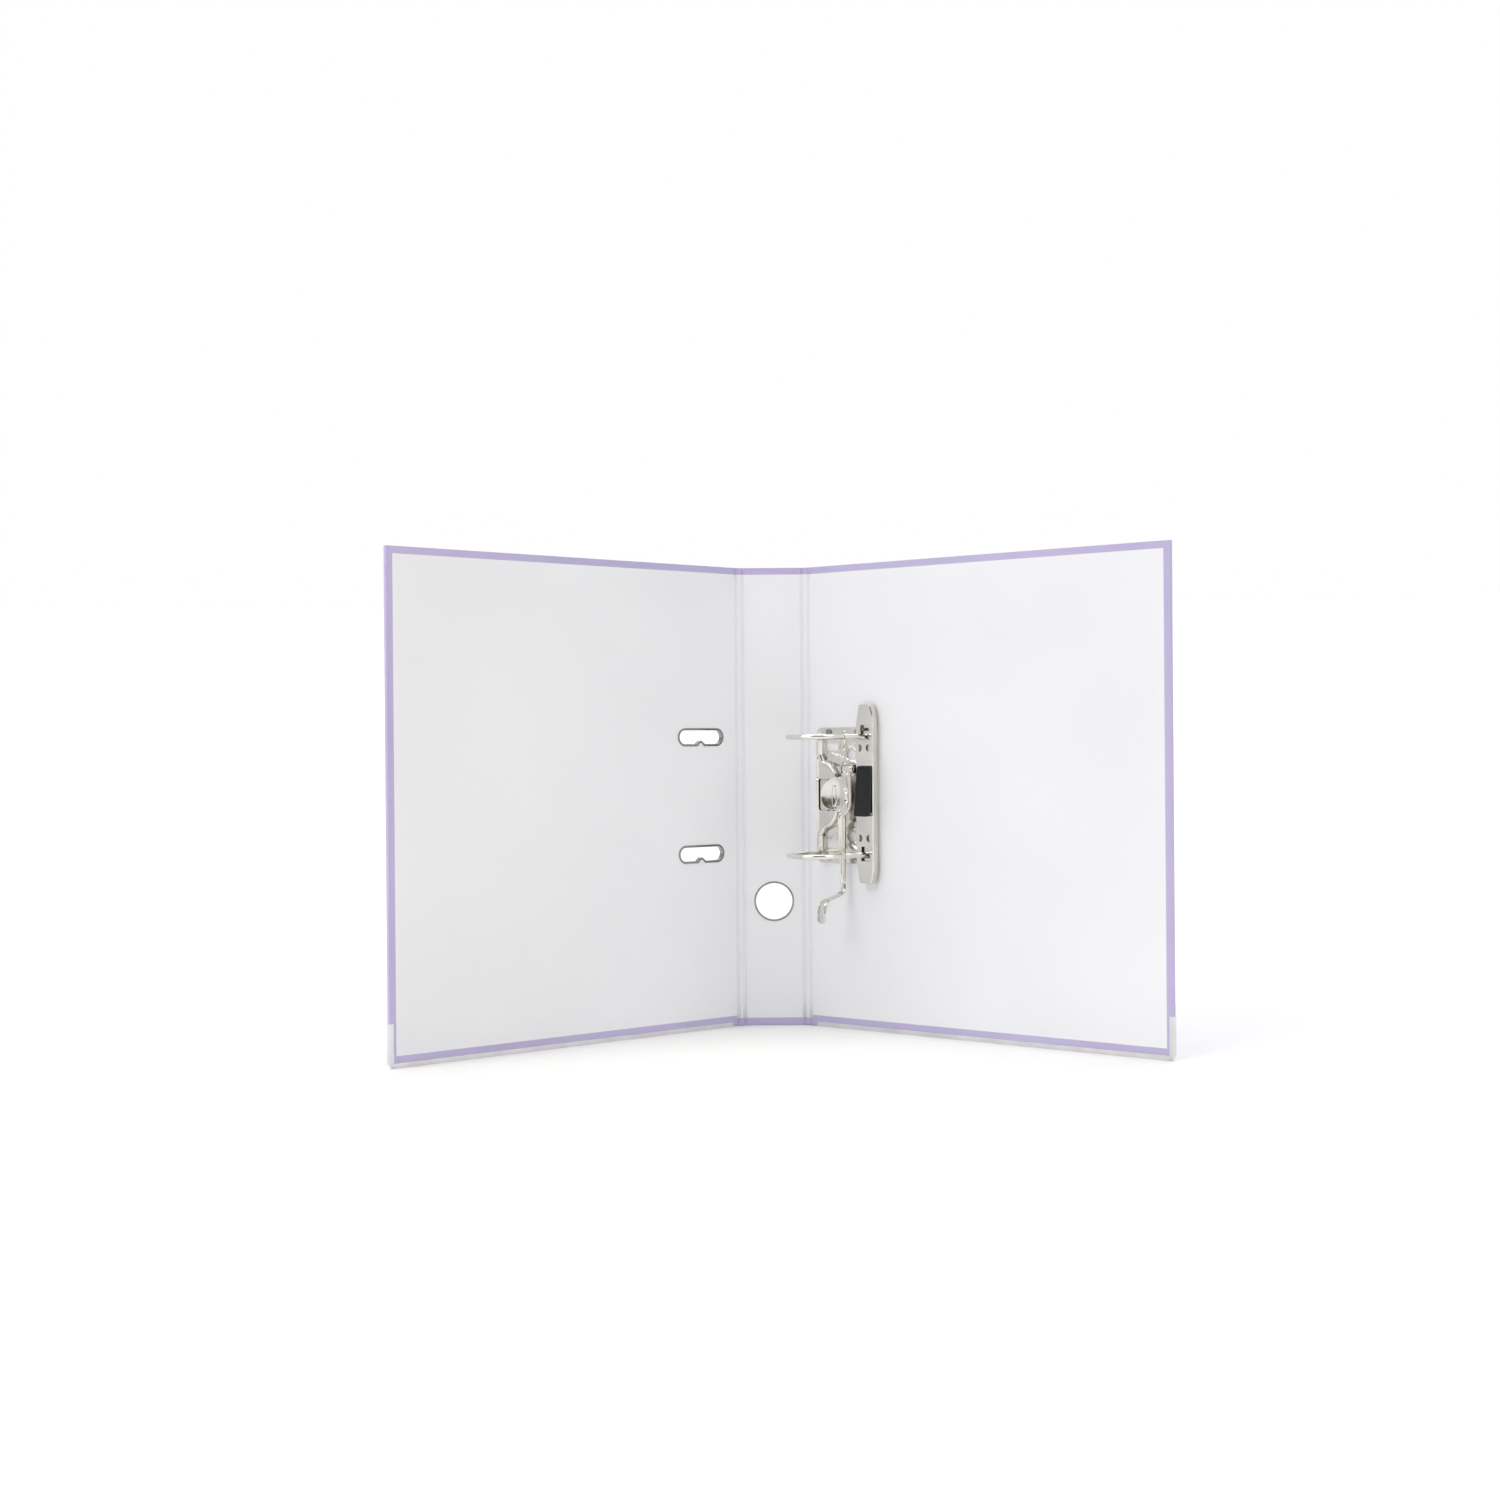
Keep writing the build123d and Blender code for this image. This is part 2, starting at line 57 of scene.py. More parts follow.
# ------------------------------------------------------------------ local frames
Z = Vector((0, 0, 1))
UB = Vector(JOINTS["lever_swing"]["axis"]).normalized()          # back cover, away from the crease
HB = Vector(JOINTS["compressor_slide"]["axis"]).normalized()     # back cover, out of its inner face
PB = Vector(JOINTS["back_cover_fold"]["pos_m"])
PF = Vector(JOINTS["front_cover_fold"]["pos_m"])
PB.z = PF.z = 0.00035
UF = Vector((-UB.x, UB.y, 0))
HF = Vector((-HB.x, HB.y, 0))
T_ALL = 0.0025
MM = 0.001
DU = 1.6


def B(u, h, z):
    """back cover, millimetres: u from the crease, h above the inner face, z up"""
    return PB + UB * (u * MM) + HB * (T_ALL + h * MM) + Z * (z * MM)


def M(u, h, z):
    """mechanism coordinates on the back cover"""
    return B(u + DU, h, z)


def F(u, h, z):
    return PF + UF * (u * MM) + HF * (T_ALL + h * MM) + Z * (z * MM)


# ------------------------------------------------------------------ materials
def srgb(r, g, b):
    def f(c):
        c /= 255.0
        return c / 12.92 if c <= 0.04045 else ((c + 0.055) / 1.055) ** 2.4
    return (f(r), f(g), f(b), 1.0)


def new_mat(name):
    m = bpy.data.materials.new(name)
    m.use_nodes = True
    nt = m.node_tree
    nt.nodes.clear()
    out = nt.nodes.new("ShaderNodeOutputMaterial")
    bs = nt.nodes.new("ShaderNodeBsdfPrincipled")
    nt.links.new(bs.outputs["BSDF"], out.inputs["Surface"])
    tc = nt.nodes.new("ShaderNodeTexCoord")
    return m, nt, bs, tc


def mapping(nt, tc, scale, rot=(0, 0, 0)):
    mp = nt.nodes.new("ShaderNodeMapping")
    mp.inputs["Scale"].default_value = scale
    mp.inputs["Rotation"].default_value = rot
    nt.links.new(tc.outputs["Object"], mp.inputs["Vector"])
    return mp.outputs["Vector"]


def noise(nt, vec, scale, detail=4.0, rough=0.55):
    n = nt.nodes.new("ShaderNodeTexNoise")
    n.inputs["Scale"].default_value = scale
    n.inputs["Detail"].default_value = detail
    n.inputs["Roughness"].default_value = rough
    nt.links.new(vec, n.inputs["Vector"])
    return n.outputs["Fac"]


def ramp(nt, fac, stops):
    r = nt.nodes.new("ShaderNodeValToRGB")
    cr = r.color_ramp
    cr.elements[0].position, cr.elements[0].color = stops[0]
    cr.elements[1].position, cr.elements[1].color = stops[-1]
    for p, c in stops[1:-1]:
        e = cr.elements.new(p)
        e.color = c
    nt.links.new(fac, r.inputs["Fac"])
    return r.outputs["Color"]


def maprange(nt, fac, lo, hi, a=0.0, b=1.0):
    m = nt.nodes.new("ShaderNodeMapRange")
    m.inputs["From Min"].default_value = a
    m.inputs["From Max"].default_value = b
    m.inputs["To Min"].default_value = lo
    m.inputs["To Max"].default_value = hi
    nt.links.new(fac, m.inputs["Value"])
    return m.outputs["Result"]


def mixf(nt, a, b, fac):
    m = nt.nodes.new("ShaderNodeMath")
    m.operation = "MULTIPLY_ADD"
    nt.links.new(b, m.inputs[0])
    m.inputs[1].default_value = fac
    nt.links.new(a, m.inputs[2])
    return m.outputs[0]


def bump(nt, bs, height, strength, dist):
    b = nt.nodes.new("ShaderNodeBump")
    b.inputs["Strength"].default_value = strength
    b.inputs["Distance"].default_value = dist
    nt.links.new(height, b.inputs["Height"])
    nt.links.new(b.outputs["Normal"], bs.inputs["Normal"])


def mat_wrap():
    m, nt, bs, tc = new_mat("lavender_wrap")
    v = mapping(nt, tc, (1, 1, 1))
    broad = noise(nt, v, 9.0, 3.0)
    fine = noise(nt, v, 900.0, 3.0)
    col = ramp(nt, broad, [(0.3, srgb(188, 178, 217)), (0.7, srgb(198, 188, 226))])
    sp = ramp(nt, fine, [(0.35, (0.93, 0.93, 0.95, 1)), (0.7, (1, 1, 1, 1))])
    mx = nt.nodes.new("ShaderNodeMixRGB")
    mx.blend_type = "MULTIPLY"
    mx.inputs["Fac"].default_value = 0.6
    nt.links.new(col, mx.inputs["Color1"])
    nt.links.new(sp, mx.inputs["Color2"])
    nt.links.new(mx.outputs["Color"], bs.inputs["Base Color"])
    nt.links.new(maprange(nt, fine, 0.40, 0.56), bs.inputs["Roughness"])
    grain = nt.nodes.new("ShaderNodeTexVoronoi")
    grain.inputs["Scale"].default_value = 1500.0
    nt.links.new(v, grain.inputs["Vector"])
    bump(nt, bs, mixf(nt, grain.outputs["Distance"], fine, 0.6), 0.22, 0.00006)
    bs.inputs["Coat Weight"].default_value = 0.12
    bs.inputs["Coat Roughness"].default_value = 0.35
    return m


def mat_lining(name="white_lining", lo=(238, 239, 243), hi=(244, 245, 249)):
    m, nt, bs, tc = new_mat(name)
    v = mapping(nt, tc, (1, 1, 1))
    broad = noise(nt, v, 6.0, 2.0)
    fine = noise(nt, v, 1300.0, 4.0, 0.65)
    fib = noise(nt, mapping(nt, tc, (1, 1, 1.6)), 420.0, 5.0)
    col = ramp(nt, broad, [(0.3, srgb(*lo)), (0.72, srgb(*hi))])
    sp = ramp(nt, fib, [(0.36, (0.975, 0.975, 0.98, 1)), (0.6, (1, 1, 1, 1))])
    mx = nt.nodes.new("ShaderNodeMixRGB")
    mx.blend_type = "MULTIPLY"
    mx.inputs["Fac"].default_value = 0.35
    nt.links.new(col, mx.inputs["Color1"])
    nt.links.new(sp, mx.inputs["Color2"])
    nt.links.new(mx.outputs["Color"], bs.inputs["Base Color"])
    nt.links.new(maprange(nt, fib, 0.46, 0.62), bs.inputs["Roughness"])
    bump(nt, bs, mixf(nt, fine, fib, 0.5), 0.12, 0.00003)
    bs.inputs["Specular IOR Level"].default_value = 0.4
    return m


def mat_nickel(name, base, rough_lo, rough_hi, wav=0.10):
    m, nt, bs, tc = new_mat(name)
    v = mapping(nt, tc, (1, 1, 1))
    broad = noise(nt, v, 70.0, 2.0, 0.4)
    mid = noise(nt, v, 330.0, 2.0, 0.45)
    scratch = noise(nt, mapping(nt, tc, (1, 1, 0.12), (0.3, 0.0, 0.5)), 3000.0, 2.0)
    dark = tuple(c * 0.88 for c in base[:3]) + (1,)
    col = ramp(nt, broad, [(0.3, dark), (0.66, base)])
    nt.links.new(col, bs.inputs["Base Color"])
    bs.inputs["Metallic"].default_value = 1.0
    nt.links.new(maprange(nt, mixf(nt, mid, scratch, 0.4), rough_lo, rough_hi, 0.4, 1.0), bs.inputs["Roughness"])
    bump(nt, bs, mixf(nt, mixf(nt, broad, mid, 0.16), scratch, 0.008), wav, 0.0012)
    return m


def mat_plastic():
    m, nt, bs, tc = new_mat("black_plastic")
    v = mapping(nt, tc, (1, 1, 1))
    fine = noise(nt, v, 1800.0, 4.0, 0.6)
    broad = noise(nt, v, 90.0, 2.0)
    col = ramp(nt, broad, [(0.3, srgb(17, 18, 22)), (0.7, srgb(25, 26, 31))])
    nt.links.new(col, bs.inputs["Base Color"])
    nt.links.new(maprange(nt, fine, 0.42, 0.56), bs.inputs["Roughness"])
    bs.inputs["Specular IOR Level"].default_value = 0.35
    bump(nt, bs, fine, 0.25, 0.00006)
    return m


def mat_board():
    m, nt, bs, tc = new_mat("greyboard")
    v = mapping(nt, tc, (1, 1, 1))
    fib = noise(nt, mapping(nt, tc, (1, 1, 5.0)), 500.0, 6.0, 0.7)
    broad = noise(nt, v, 40.0, 3.0)
    col = ramp(nt, mixf(nt, broad, fib, 0.7), [(0.5, srgb(138, 134, 128)), (1.1, srgb(182, 178, 170))])
    nt.links.new(col, bs.inputs["Base Color"])
    nt.links.new(maprange(nt, fib, 0.82, 0.95), bs.inputs["Roughness"])
    bump(nt, bs, fib, 0.5, 0.00015)
    return m


def mat_label():
    m, nt, bs, tc = new_mat("label_paper")
    v = mapping(nt, tc, (1, 1, 1))
    fine = noise(nt, v, 1500.0, 5.0, 0.7)
    broad = noise(nt, v, 14.0, 2.0)
    col = ramp(nt, broad, [(0.3, srgb(240, 240, 236)), (0.7, srgb(247, 247, 244))])
    # ruled writing lines across the label
    sep = nt.nodes.new("ShaderNodeSeparateXYZ")
    nt.links.new(tc.outputs["Object"], sep.inputs["Vector"])
    mod = nt.nodes.new("ShaderNodeMath")
    mod.operation = "PINGPONG"
    mod.inputs[1].default_value = 0.015
    nt.links.new(sep.outputs["Z"], mod.inputs[0])
    gt = nt.nodes.new("ShaderNodeMath")
    gt.operation = "LESS_THAN"
    gt.inputs[1].default_value = 0.00022
    nt.links.new(mod.outputs[0], gt.inputs[0])
    mx = nt.nodes.new("ShaderNodeMixRGB")
    nt.links.new(gt.outputs[0], mx.inputs["Fac"])
    nt.links.new(col, mx.inputs["Color1"])
    mx.inputs["Color2"].default_value = srgb(150, 150, 158)
    nt.links.new(mx.outputs["Color"], bs.inputs["Base Color"])
    nt.links.new(maprange(nt, fine, 0.62, 0.78), bs.inputs["Roughness"])
    bump(nt, bs, fine, 0.2, 0.00004)
    return m


WRAP = mat_wrap()
LINING = mat_lining()
# lining for the crease strips, a touch darker than the flat lining: painted shade along the creases
CREASE_PAINTED_SHADE = mat_lining("lining_crease_painted_shade", (233, 234, 240), (239, 240, 245))
NICKEL_SHEET = mat_nickel("nickel_sheet", (0.76, 0.735, 0.69, 1), 0.10, 0.24, 0.16)
NICKEL_WIRE = mat_nickel("nickel_wire", (0.80, 0.78, 0.74, 1), 0.08, 0.18, 0.05)
# finger ring nickel with a base under half as bright as the other nickel: painted shade standing in for the dark
# reflections on the ring
NICKEL_TRIM_PAINTED_DARK = mat_nickel("nickel_trim", (0.33, 0.325, 0.325, 1), 0.08, 0.18, 0.05)
NICKEL_EDGE = mat_nickel("edge_nickel", (0.74, 0.74, 0.76, 1), 0.20, 0.28, 0.015)
PLASTIC = mat_plastic()
BOARD = mat_board()
LABEL = mat_label()
BY_SLOT = {"greyboard": BOARD, "outer_wrap": WRAP, "white_lining": LINING, "label_paper": LABEL,
           "edge_nickel": NICKEL_EDGE, "nickel_wire": NICKEL_WIRE, "nickel_sheet": NICKEL_SHEET,
           "nickel_trim": NICKEL_TRIM_PAINTED_DARK, "black_plastic": PLASTIC}
SLOT_OF = {s["node"]: s["material_slot"] for s in frame["record"]["subparts"]}

for name, o in NODES.items():
    mat = BY_SLOT[SLOT_OF[name]]
    if len(o.material_slots) == 0:
        o.data.materials.append(mat)
    for s in o.material_slots:
        s.material = mat


def soften(name, width, segments=2, angle=35):
    o = NODES[name]
    w = o.modifiers.new("weld", "WELD")
    w.merge_threshold = 1e-6
    b = o.modifiers.new("bevel", "BEVEL")
    b.width = width
    b.segments = segments
    b.limit_method = "ANGLE"
    b.angle_limit = math.radians(angle)
    b.use_clamp_overlap = True
    b.harden_normals = False
    n = o.modifiers.new("normals", "WEIGHTED_NORMAL")
    n.keep_sharp = False
    n.weight = 60


for n, wd in (("compressor_bar", 0.0003), ("mechanism_rivets", 0.0003),
              ("post_upper", 0.00008), ("post_lower", 0.00008), ("compressor_clamp_upper", 0.00012),
              ("compressor_clamp_lower", 0.00012), ("lever_pin", 0.0002),
              ("front_edge_protector", 0.00012), ("back_edge_protector", 0.00012),
              ("arch_slot_eyelet_upper", 0.00016), ("arch_slot_eyelet_lower", 0.00016)):
    soften(n, wd)


# ------------------------------------------------------------------ mesh helpers
def mesh_object(name, verts, faces, mat, smooth=True):
    me = bpy.data.meshes.new(name)
    me.from_pydata([tuple(v) for v in verts], [], faces)
    me.update()
    bm = bmesh.new()
    bm.from_mesh(me)
    bmesh.ops.recalc_face_normals(bm, faces=bm.faces)
    bm.to_mesh(me)
    bm.free()
    for p in me.polygons:
        p.use_smooth = smooth
    me.materials.append(mat)
    o = bpy.data.objects.new(name, me)
    bpy.context.scene.collection.objects.link(o)
    return o


def round_path(pts, radii, seg=10):
    """polyline with its corners rounded to the given radii"""
    pts = [Vector(p) for p in pts]
    out = [pts[0]]
    for i in range(1, len(pts) - 1):
        a = (pts[i - 1] - pts[i]).normalized()
        b = (pts[i + 1] - pts[i]).normalized()
        ang = a.angle(b)
        r = radii[i - 1] if isinstance(radii, (list, tuple)) else radii
        d = r / math.tan(ang / 2)
        bis = (a + b).normalized()
        c = pts[i] + bis * (r / math.sin(ang / 2))
        p1, p2 = pts[i] + a * d, pts[i] + b * d
        v1, v2 = p1 - c, p2 - c
        tot = v1.angle(v2)
        ax = v1.cross(v2).normalized()
        for k in range(seg + 1):
            out.append(c + Matrix.Rotation(tot * k / seg, 3, ax) @ v1)
    out.append(pts[-1])
    return out


def tube(name, path, radius, mat, ring=20, cap=0.5):
    """round bar along a path; cap rounds its ends over cap times the radius"""
    n = len(path)
    T = []
    for i in range(n):
        a = path[max(i - 1, 0)]
        b = path[min(i + 1, n - 1)]
        T.append((b - a).normalized())
    ref = Vector((0, 0, 1)) if abs(T[0].z) < 0.9 else Vector((1, 0, 0))
    N = (ref - T[0] * ref.dot(T[0])).normalized()
    rings = []
    secs = []
    for i in range(n):
        if i:
            q = T[i - 1].rotation_difference(T[i])
            N = q @ N
            N = (N - T[i] * N.dot(T[i])).normalized()
        secs.append((path[i], T[i], N.copy(), radius))
    c = radius * cap
    pre, post = [], []
    for k in range(5):
        t = k / 4 * math.pi / 2
        pre.append((path[0] + T[0] * (c - c * math.cos(t) * 1.0) , T[0], secs[0][2], radius - c + c * math.sin(t)))
        post.append((path[-1] - T[-1] * (c - c * math.cos(t)), T[-1], secs[-1][2], radius - c + c * math.sin(t)))
    secs = pre + secs[1:-1] + post[::-1]
    verts, faces = [], []
    for p, t, nn, r in secs:
        bn = t.cross(nn)
        for k in range(ring):
            a = 2 * math.pi * k / ring
            verts.append(p + nn * (r * math.cos(a)) + bn * (r * math.sin(a)))
    m = len(secs)
    for i in range(m - 1):
        for k in range(ring):
            k2 = (k + 1) % ring
            faces.append((i * ring + k, i * ring + k2, (i + 1) * ring + k2, (i + 1) * ring + k))
    faces.append(tuple(range(ring))[::-1])
    faces.append(tuple((m - 1) * ring + k for k in range(ring)))
    return mesh_object(name, verts, faces, mat)


# ------------------------------------------------------------------ arch wire
ZU, ZL, MZ = 200.0, 120.0, 160.0
PIV_U, PIV_H, POST_U, ARCH_H, ARCH_R, CU = 11.0, 3.0, 52.0, 31.5, 20.5, 24.4


def arch_arc(z, flip):
    pts = []
    for k in range(41):
        a = math.pi * k / 40
        pts.append(Vector((31.5 + ARCH_R * math.cos(a), ARCH_H + 0.5 + ARCH_R * math.sin(a), z)))
    pts = [Vector((POST_U, ARCH_H + 0.25, z))] + pts
    return pts[::-1] if flip else pts


mid = round_path([(PIV_U, ARCH_H + 0.5, ZU), (PIV_U, PIV_H, ZU), (PIV_U, PIV_H, 187.0), (13.6, PIV_H, 182.2),
                  (19.2, PIV_H, 180.0), (CU, PIV_H, 173.6), (CU, PIV_H, 2 * MZ - 173.6), (19.2, PIV_H, 2 * MZ - 180.0),
                  (13.6, PIV_H, 2 * MZ - 182.2), (PIV_U, PIV_H, 2 * MZ - 187.0), (PIV_U, PIV_H, ZL),
                  (PIV_U, ARCH_H + 0.5, ZL)], [2.2, 4.0, 4.0, 4.0, 4.0, 4.0, 4.0, 4.0, 4.0, 2.2], 9)
path = arch_arc(ZU, False) + mid[1:-1] + arch_arc(ZL, True)
arch = tube("arch_wire_bent", [M(*p) for p in path], 1.7 * MM, NICKEL_WIRE, 24, 0.1)
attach(arch, "arch")
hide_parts("arch_wire")

# ------------------------------------------------------------------ lever
HU, HZ, HR = 29.0, 160.2, 12.0
PZ, PH = 178.0, 6.8


def sstep(a, b, x):
    t = min(max((x - a) / (b - a), 0.0), 1.0)
    return t * t * (3 - 2 * t)


def head_top(u, z):
    """height of the pressed head: a scoop, lowest beside the neck and rising to its free rim"""
    q = math.hypot(u - 37.0, z - HZ)
    h = 5.7 + 38.0 - math.sqrt(38.0 ** 2 - min(q, 22.0) ** 2)
    flat = 7.45
    w = sstep(35.4, 38.2, u)
    w = max(w, sstep(146.0, 152.5, 298.5 - z + 0.0) if z < 152.5 else 0.0)
    h = h * (1 - w) + flat * w
    r = math.hypot(u - HU, z - HZ)
    if u < 31:
        h += 0.35 * sstep(10.7, 11.8, r)                            # rolled rim
        h -= 0.35 * (1 - sstep(9.2, 10.7, r)) * sstep(34.0, 26.0, u) * 0.6
    # lens shaped rib pressed up in the hollow
    du, dz = u - 26.3, z - (HZ - 0.6)
    lens = 1 - (dz / 7.6) ** 2
    if lens > 0:
        wd = 0.30 + 1.15 * lens
        h += 0.55 * math.exp(-((abs(du) - wd) / 0.42) ** 2) * min(1, lens * 3)
    # step up to the neck, with two dimples punched beside it
    h += 0.9 * sstep(37.6, 39.0, u + 0.10 * (z - HZ)) * sstep(176.5, 173.5, z) * sstep(148.0, 151.0, z)
    for uu, zz, dd in ((36.4, 163.6, 1.2), (36.8, 156.8, 1.1)):
        h -= dd * math.exp(-(((u - uu) / 1.7) ** 2 + ((z - zz) / 1.6) ** 2))
    h += 0.5 * math.exp(-(((u - 34.6) / 1.2) ** 2 + ((z - 160.2) / 1.4) ** 2))
    return h


def outline_pts():
    """outline of the head in (u, z), counter-clockwise, as in the CAD lever"""
    pts = []
    a0 = math.atan2(171.0 - HZ, 25.6 - HU)
    a1 = math.atan2(148.3 - HZ, 29.9 - HU)
    if a1 < a0:
        a1 += 2 * math.pi
    n = 40
    for i in range(n + 1):
        a = a0 + (a1 - a0) * i / n
        pts.append((HU + HR * math.cos(a), HZ + HR * math.sin(a)))
    pts += [(29.9, 146.4), (35.6, 146.4), (37.6, 149.2), (40.4, 153.2), (40.6, 157.0), (40.6, 166.0), (40.6, 177.4), (34.6, 177.4),
            (34.4, 174.2), (33.6, 173.3), (30.0, 172.4), (27.0, 171.7)]
    return pts


def star_outline(c, n):
    """resampled outline: distance from c in each of n directions"""
    P = outline_pts()
    res = []
    for i in range(n):
        a = 2 * math.pi * i / n
        d = Vector((math.cos(a), math.sin(a)))
        R = 0
        for j in range(len(P)):
            p = Vector(P[j]) - c
            q = Vector(P[(j + 1) % len(P)]) - c
            e = q - p
            den = d.x * e.y - d.y * e.x
            if abs(den) < 1e-9:
                continue
            t = (p.x * e.y - p.y * e.x) / den
            w = (p.x * d.y - p.y * d.x) / den
            if t > 0 and -1e-6 <= w <= 1 + 1e-6:
                R = max(R, t)
        res.append((d, R))
    return res


def build_head():
    c = Vector((34.0, 161.0))
    n = 220
    ol = star_outline(c, n)
    K = 44
    T = 1.0
    verts, faces = [M(c.x, head_top(c.x, c.y), c.y)], []
    rows = []
    for i in range(1, K + 1):
        lv = i / K
        row = []
        for d, R in ol:
            p = c + d * (R * lv)
            e = R * (1 - lv)
            drop = 0.28 * (1 - min(e / 0.5, 1)) ** 2
            row.append(len(verts))
            verts.append(M(p.x, head_top(p.x, p.y) - drop, p.y))
        rows.append(row)
    under = []
    for i in range(K, 0, -2):
        lv = i / K
        row = []
        for d, R in ol:
            p = c + d * (R * lv)
            row.append(len(verts))
            verts.append(M(p.x, head_top(p.x, p.y) - T - 0.1, p.y))
        under.append(row)
    verts.append(M(c.x, head_top(c.x, c.y) - T - 0.1, c.y))
    last = len(verts) - 1
    for i in range(n):
        faces.append((0, rows[0][i], rows[0][(i + 1) % n]))
    allr = rows + under
    for a, b in zip(allr, allr[1:]):
        for i in range(n):
            j = (i + 1) % n
            faces.append((a[i], b[i], b[j], a[j]))
    for i in range(n):
        faces.append((under[-1][i], last, under[-1][(i + 1) % n]))
    return mesh_object("lever_head", verts, faces, NICKEL_SHEET)


ARM_U = 32.7


def arm_mesh():
    """folded channel, open outwards, that runs into a flat strip with a rounded end"""
    pts = [(148.5, 7.0), (140.0, 6.6), (120.0, 6.45), (100.0, 6.4), (94.6, 7.2), (92.4, 11.0), (91.1, 17.0), (89.6, 25.0), (87.6, 29.6), (81.5, 31.2), (74.2, 31.6)]
    path = round_path([(0, p[1], p[0]) for p in pts], [20, 20, 8, 4.0, 2.5, 8, 8, 3.0, 4.5], 8)
    L = [0.0]
    for a, b in zip(path, path[1:]):
        L.append(L[-1] + (b - a).length)
    tot = L[-1]
    N = 220
    res = []
    j = 0
    for k in range(N + 1):
        d = tot * k / N
        while j < len(L) - 2 and L[j + 1] < d:
            j += 1
        t = (d - L[j]) / max(L[j + 1] - L[j], 1e-9)
        res.append(path[j].lerp(path[j + 1], t))
    verts, faces, rings = [], [], []
    X = Vector((1, 0, 0))
    for k, p in enumerate(res):
        d = tot * k / N
        t = (res[min(k + 1, N)] - res[max(k - 1, 0)]).normalized()
        up = X.cross(t).normalized()
        if k == 0:
            if up.y < 0:
                up = -up
        elif up.dot(prev) < 0:
            up = -up
        prev = up
        end = tot - d
        half = 2.75 - 0.95 * sstep(2.0, 46.0, d)                    # channel narrows
        half = half + (2.4 - half) * sstep(47.0, 56.0, d)           # opens into the strip
        half = half + (3.5 - half) * sstep(70.0, 78.0, d)           # finger end
        if end < 3.2:
            half = 3.5 * math.sqrt(max(1 - ((3.2 - end) / 3.2) ** 2 * 0.93, 0.02))
        fl = 1.9 * sstep(0.5, 4.0, d) * (1 - sstep(44.0, 53.0, d))   # flange height
        fr = 1.55 * sstep(0.5, 4.0, d) * (1 - sstep(40.0, 50.0, d))
        th = 1.0
        hw = min(th, half * 0.45)
        curl = 0.35 * (1 - sstep(2.0, 10.0, d)) * 0
        prof = [(-half, -th / 2 + 0.35), (-half, -0.1), (-half, fl + 0.28), (-half + 0.3, fl + 0.5), (-half + hw - 0.25, fl + 0.5), (-half + hw, fl + 0.3),
                (-half + hw + 0.1, 0.75 if fl > 0.6 else 0.5), (-half * 0.25, 0.5), (half * 0.25, 0.5),
                (half - hw - 0.1, 0.75 if fr > 0.6 else 0.5), (half - hw, fr + 0.3), (half - hw + 0.25, fr + 0.5), (half - 0.3, fr + 0.5), (half, fr + 0.28),
                (half, -0.1), (half, -th / 2 + 0.35), (half - 0.35, -th / 2), (half * 0.3, -th / 2), (-half * 0.3, -th / 2), (-half + 0.35, -th / 2)]
        # slight dish across the finger end
        dish = 0.35 * sstep(72.0, 80.0, d)
        row = []
        for x, y in prof:
            yy = y - dish * (1 - (x / 3.5) ** 2)
            q = p + X * (ARM_U + x) + up * yy
            row.append(len(verts))
            verts.append(M(q.x, q.y, q.z))
        rings.append(row)
    m = len(rings[0])
    for a, b in zip(rings, rings[1:]):
        for i in range(m):
            j = (i + 1) % m
            faces.append((a[i], a[j], b[j], b[i]))
    faces.append(tuple(rings[0]))
    faces.append(tuple(rings[-1][::-1]))
    return mesh_object("lever_arm", verts, faces, NICKEL_SHEET)


def lathe(name, profile, place, mat, n=48, closed=True):
    """profile [(radius, along)], place(along, x, y) -> point"""
    verts, faces = [], []
    m = len(profile)
    for i in range(n):
        a = 2 * math.pi * i / n
        for r, s in profile:
            verts.append(place(s, r * math.cos(a), r * math.sin(a)))
    for i in range(n):
        i2 = (i + 1) % n
        for k in range(m if closed else m - 1):
            k2 = (k + 1) % m
            faces.append((i * m + k, i * m + k2, i2 * m + k2, i2 * m + k))
    return mesh_object(name, verts, faces, mat)


def join(objs, name):
    bpy.ops.object.select_all(action="DESELECT")
    for o in objs:
        o.select_set(True)
    bpy.context.view_layer.objects.active = objs[0]
    bpy.ops.object.join()
    objs[0].name = name
    objs[0].data.name = name
    return objs[0]


head = build_head()
arm = arm_mesh()
barrel = lathe("barrel", [(1.42, 33.7), (1.42, 41.5), (1.9, 41.7), (2.5, 41.4), (2.6, 41.0), (2.6, 34.2), (2.5, 33.8), (1.9, 33.5)],
               lambda s, x, y: M(s, PH + x, PZ + y), NICKEL_SHEET)
cutter = lathe("cutter", [(0.01, 20.0), (1.2, 20.0), (1.2, 45.0), (0.01, 45.0)], lambda s, x, y: M(ARM_U + 0.6 + x, s, 82.0 + y), NICKEL_SHEET, 24)
bo = arm.modifiers.new("hole", "BOOLEAN")
bo.operation = "DIFFERENCE"
bo.object = cutter
bo.solver = "EXACT"
bpy.context.view_layer.objects.active = arm
bpy.ops.object.modifier_apply(modifier="hole")
bpy.data.objects.remove(cutter)
lever = join([head, arm, barrel], "lever_pressed")
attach(lever, "lever")
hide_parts("lever")

# ------------------------------------------------------------------ pressed base plate
def uhz(co):
    r = co - PB
    return r.dot(UB) / MM - DU, r.dot(HB) / MM - 2.5, r.z / MM


def seg_dist(u, z, a, b):
    ax, az = a
    bx, bz = b
    t = ((u - ax) * (bx - ax) + (z - az) * (bz - az)) / ((bx - ax) ** 2 + (bz - az) ** 2)
    t = min(max(t, 0.0), 1.0)
    return math.hypot(u - ax - t * (bx - ax), z - az - t * (bz - az)), t


CRANK = [(11.0, 187.0), (13.6, 182.2), (19.2, 180.0), (24.4, 173.6), (24.4, 146.4)]


